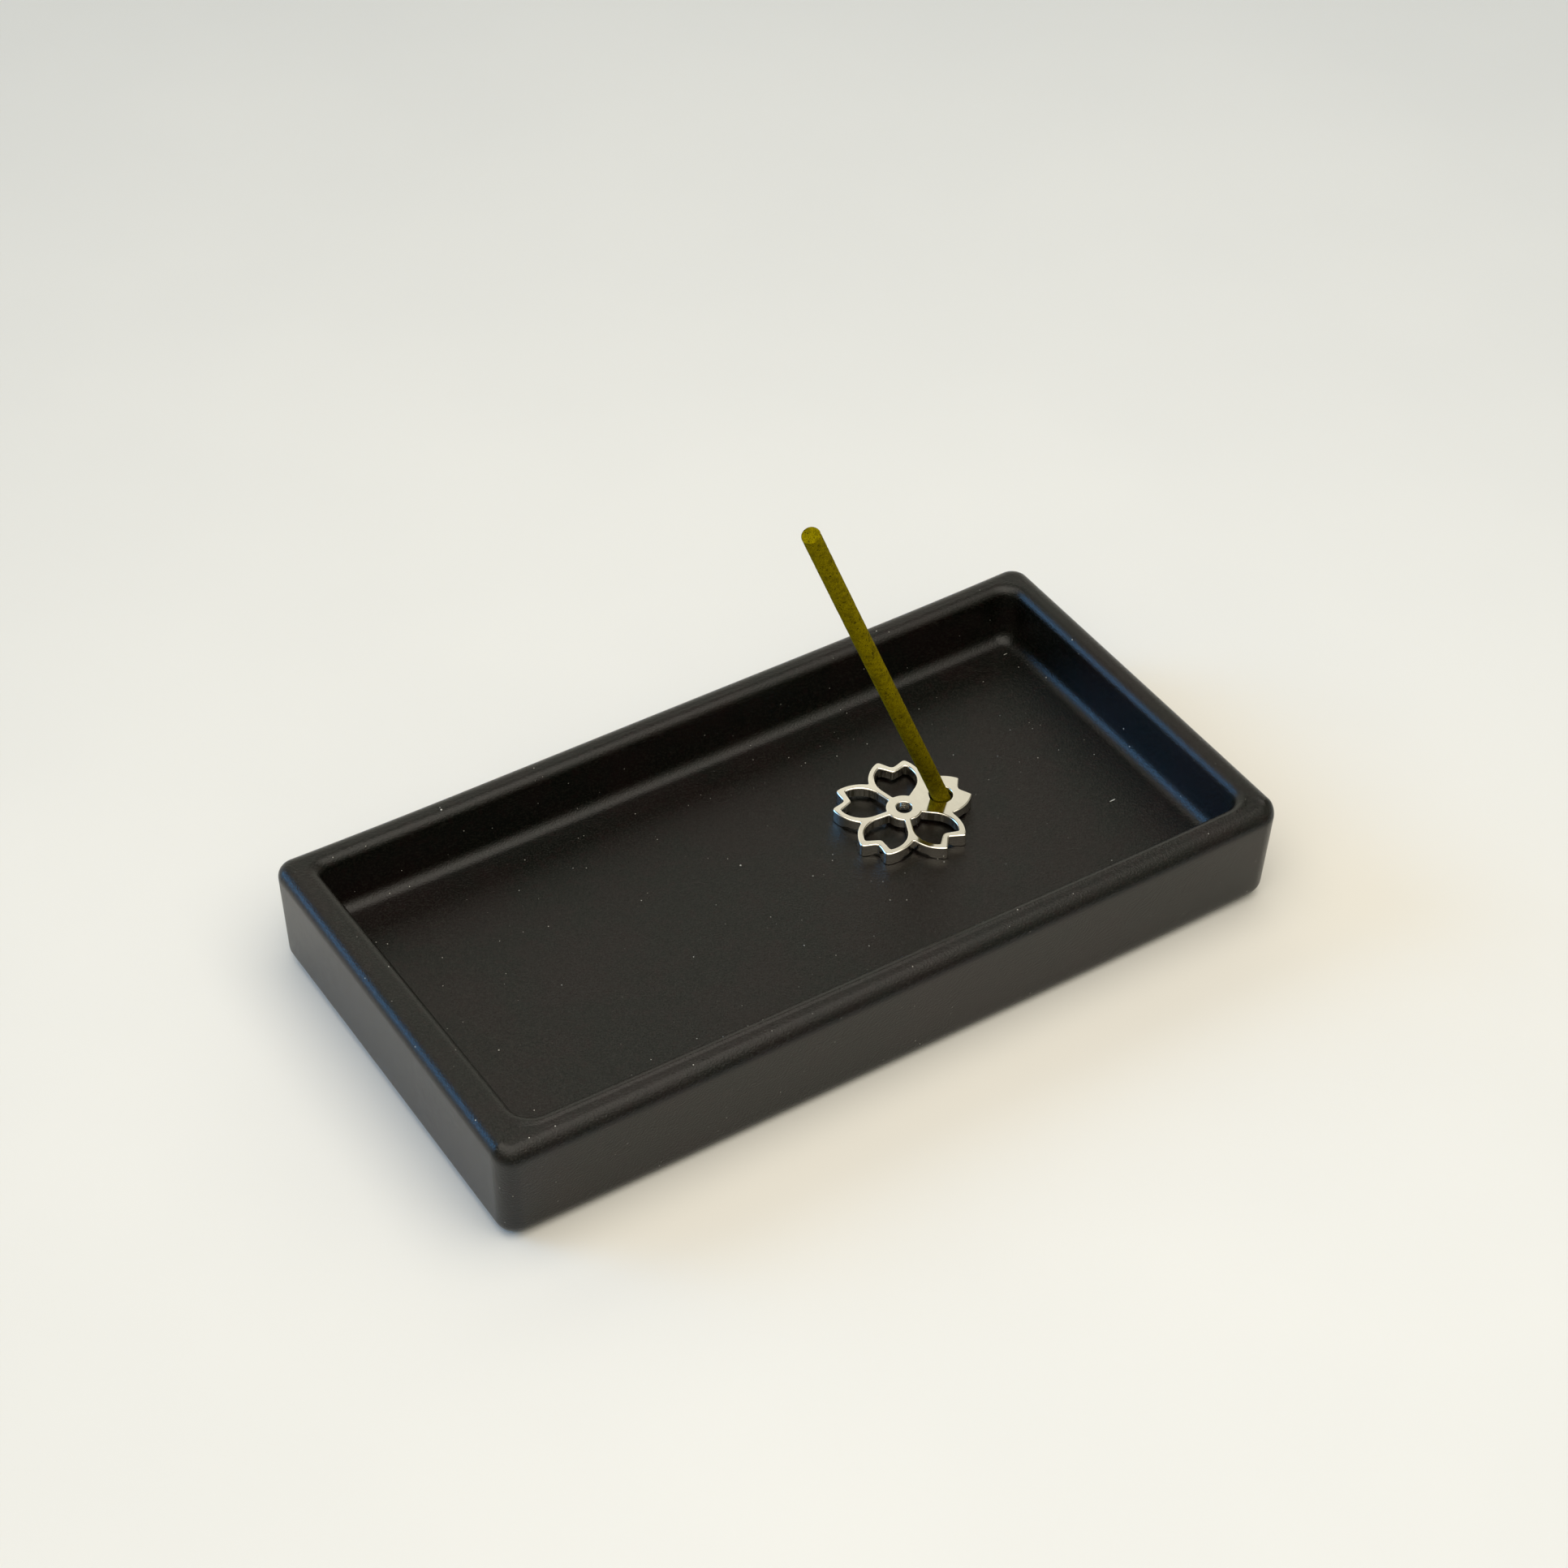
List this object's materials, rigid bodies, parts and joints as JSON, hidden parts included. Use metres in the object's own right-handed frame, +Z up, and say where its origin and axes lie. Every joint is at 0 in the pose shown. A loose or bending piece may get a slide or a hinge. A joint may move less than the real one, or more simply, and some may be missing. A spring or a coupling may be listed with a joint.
{
  "type": "incense burner",
  "caption": "Low rectangular glazed tray with a raised rim, a loose five-petal flower-shaped stick holder on its floor and a leaning incense stick.",
  "frame": {"origin": "middle of the tray's foot, on the surface that the tray stands on", "axes": "+Z up, +X along the tray's long side towards the flower holder's end, +Y along its short side"},
  "size_m": [0.1348, 0.0692, 0.0872],
  "materials": {
    "black_glaze": "satin",
    "polished_metal": "polished",
    "incense_paste": "matte"
  },
  "bodies": {
    "tray": {"tray": "black_glaze"},
    "holder": {"flower_holder": "polished_metal"},
    "stick": {"incense_stick": "incense_paste"}
  },
  "joints": [
    {"name": "holder_lift", "type": "slide", "parent": "tray", "child": "holder", "axis": [0, 0, 1], "range_m": [0, 0.04]},
    {"name": "stick_pull", "type": "slide", "parent": "holder", "child": "stick", "axis": [-0.4196, -0.1851, 0.8886], "range_m": [0, 0.04]}
  ]
}
